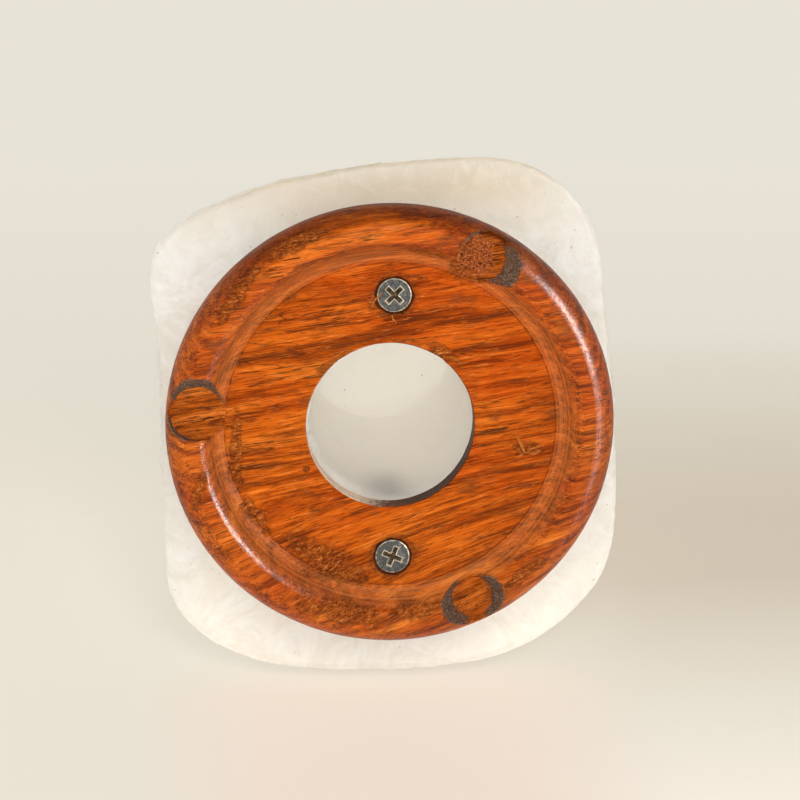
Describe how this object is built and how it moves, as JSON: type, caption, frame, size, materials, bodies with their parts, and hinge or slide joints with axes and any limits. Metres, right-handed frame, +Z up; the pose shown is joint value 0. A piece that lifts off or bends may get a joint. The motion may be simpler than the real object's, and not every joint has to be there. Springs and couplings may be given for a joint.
{
  "type": "salt crystal lamp",
  "caption": "Hewn block of white salt screwed to a turned wooden disc base, bored for a bulb; the light fitting and feet are off, so the holder hole and foot pockets are open.",
  "frame": {"origin": "centre of the ring that the base rests on, on the axis of the bulb holder's hole", "axes": "+Z up the lamp's axis, from the base to the crystal's top; -Y towards the side that faces up in the picture, +X to its right"},
  "size_m": [0.1175, 0.1326, 0.1495],
  "materials": {
    "salt": "frosted, cloudy and translucent, with a rough hewn skin",
    "wood": "orange-brown rosewood with dark streaks, satin varnish, turned",
    "screw_steel": "dark blue-grey passivated steel, worn bright in the cross",
    "plug_plastic": "moulded, matte"
  },
  "bodies": {
    "root": {"salt_crystal": "salt", "wooden_base": "wood", "base_screw_upper": "screw_steel", "base_screw_lower": "screw_steel", "wall_plug_upper": "plug_plastic", "wall_plug_lower": "plug_plastic"}
  },
  "joints": []
}
